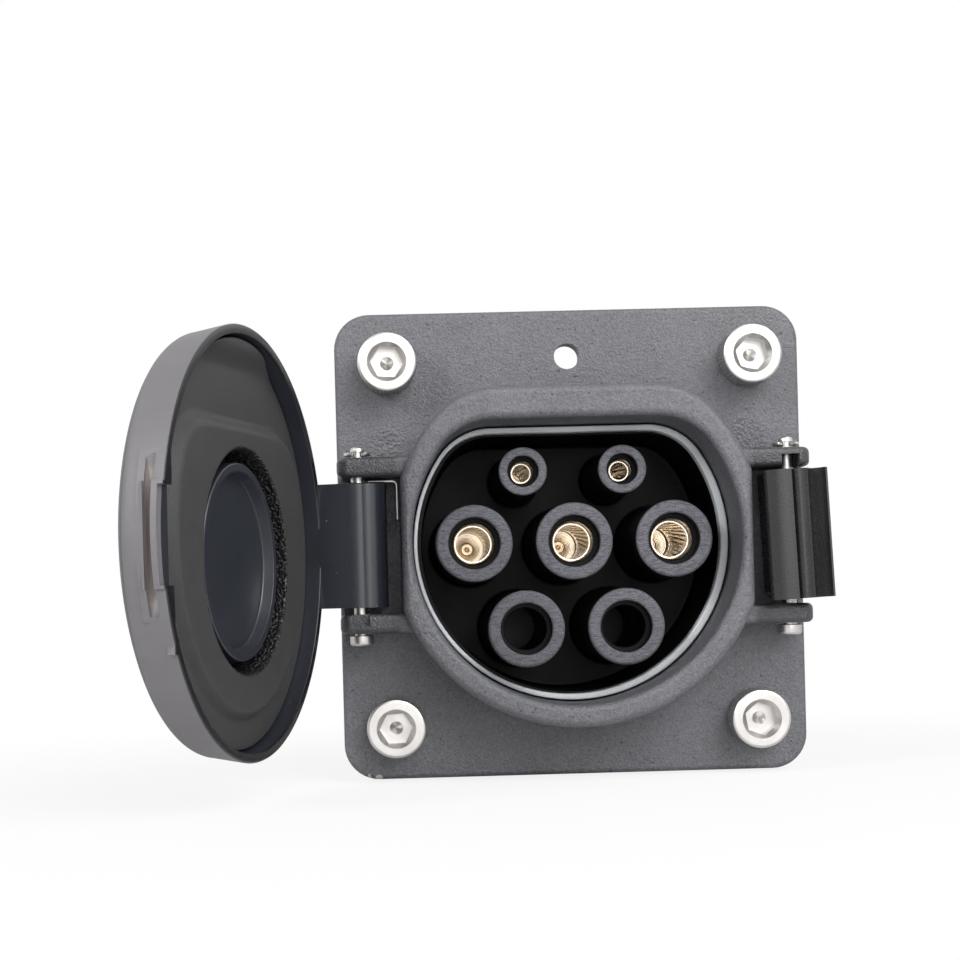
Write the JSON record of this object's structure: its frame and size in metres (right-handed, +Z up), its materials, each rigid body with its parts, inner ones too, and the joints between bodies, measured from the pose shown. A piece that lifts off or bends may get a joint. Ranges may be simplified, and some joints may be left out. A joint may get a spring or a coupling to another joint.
{
  "type": "ev charging connector",
  "caption": "Panel-mounted charging inlet: square plate, D-shaped collar with shrouded brass contacts, sprung round lid held open and a sprung latch at the other side.",
  "frame": {"origin": "on the plate's back face, midway between its two lower fixing holes", "axes": "+Z up, -Y out of the front of the socket, +X to the right seen from the front; +Y is the back face's outward normal"},
  "size_m": [0.1114, 0.1204, 0.08],
  "materials": {
    "powder_coat": "black textured powder coat",
    "black_plastic": "satin black moulding",
    "lid_plastic": "satin black moulding with a pale bloom",
    "grey_rubber": "light grey seal",
    "foam": "dark porous foam",
    "brass": "turned",
    "stainless_steel": "bright"
  },
  "bodies": {
    "socket": {"body_screw_1": "stainless_steel", "body_screw_2": "stainless_steel", "body_screw_3": "stainless_steel", "body_screw_4": "stainless_steel", "cap_screw_lower_left": "stainless_steel", "cap_screw_lower_right": "stainless_steel", "cap_screw_upper_left": "stainless_steel", "cap_screw_upper_right": "stainless_steel", "contact_cage_cc": "brass", "contact_cage_cp": "brass", "contact_cage_l1": "brass", "contact_cage_n": "brass", "contact_cage_pe": "brass", "contact_cc": "brass", "contact_cp": "brass", "contact_l1": "brass", "contact_n": "brass", "contact_pe": "brass", "contact_retainer": "black_plastic", "front_plate": "powder_coat", "hinge_pin": "stainless_steel", "hinge_pin_clip": "stainless_steel", "latch_pin": "stainless_steel", "latch_pin_clip": "stainless_steel", "latch_spring": "stainless_steel", "lid_spring": "stainless_steel", "retainer_screw_1": "stainless_steel", "retainer_screw_2": "stainless_steel", "seal_ring": "grey_rubber", "shroud_cc": "black_plastic", "shroud_cp": "black_plastic", "shroud_l1": "black_plastic", "shroud_l2": "black_plastic", "shroud_l3": "black_plastic", "shroud_n": "black_plastic", "shroud_pe": "black_plastic", "socket_body": "black_plastic", "socket_floor": "black_plastic"},
    "lid": {"lid_shell": "lid_plastic", "lid_foam": "foam"},
    "latch": {"latch_lever": "black_plastic"}
  },
  "joints": [
    {"name": "lid_hinge", "type": "hinge", "parent": "socket", "child": "lid", "pos_m": [-0.0364, -0.009, 0.031], "axis": [0, 0, 1], "range_deg": [0, 107], "stiffness_Nm_per_rad": 0.01, "springref_deg": -34.38},
    {"name": "latch_hinge", "type": "hinge", "parent": "socket", "child": "latch", "pos_m": [0.0364, -0.009, 0.031], "axis": [0, 0, 1], "range_deg": [0, 25], "stiffness_Nm_per_rad": 0.03, "springref_deg": -20.05}
  ]
}
